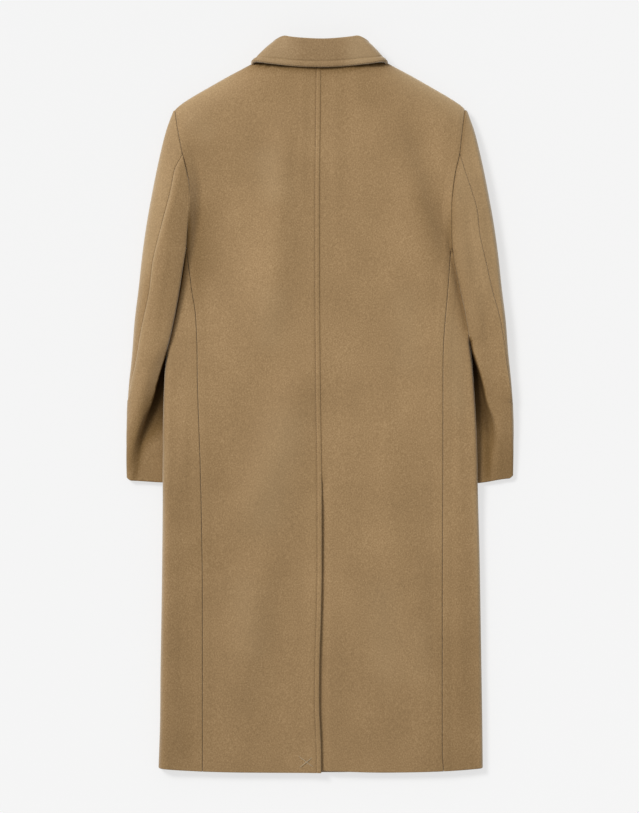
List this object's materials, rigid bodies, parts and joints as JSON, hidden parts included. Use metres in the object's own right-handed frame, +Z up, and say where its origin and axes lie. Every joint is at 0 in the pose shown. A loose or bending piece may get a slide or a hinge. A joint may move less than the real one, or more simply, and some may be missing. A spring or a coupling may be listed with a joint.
{
  "type": "mac coat",
  "caption": "Long single-breasted mac coat in wool melton laid flat face down: shirt collar, two-piece sleeves, side-back seams, back vent and concealed button fly.",
  "frame": {"origin": "on the surface the coat lies on, under the middle of the whole coat's bounding box", "axes": "+X across the coat towards the wearer's right side, +Y from the hem to the collar, +Z up off the surface, out of the coat's back"},
  "size_m": [0.6285, 1.1978, 0.0419],
  "materials": {
    "melton": "matte",
    "collar_melton": "matte",
    "horn": "satin"
  },
  "bodies": {
    "root": {"back_left": "melton", "back_right": "melton", "side_left": "melton", "side_right": "melton", "front_left": "melton", "front_right": "melton", "top_sleeve_left": "melton", "top_sleeve_right": "melton", "under_sleeve_left": "melton", "under_sleeve_right": "melton", "collar_stand": "melton", "collar_fall": "collar_melton", "button_1": "horn", "button_2": "horn", "button_3": "horn", "button_4": "horn", "button_5": "horn"}
  },
  "joints": []
}
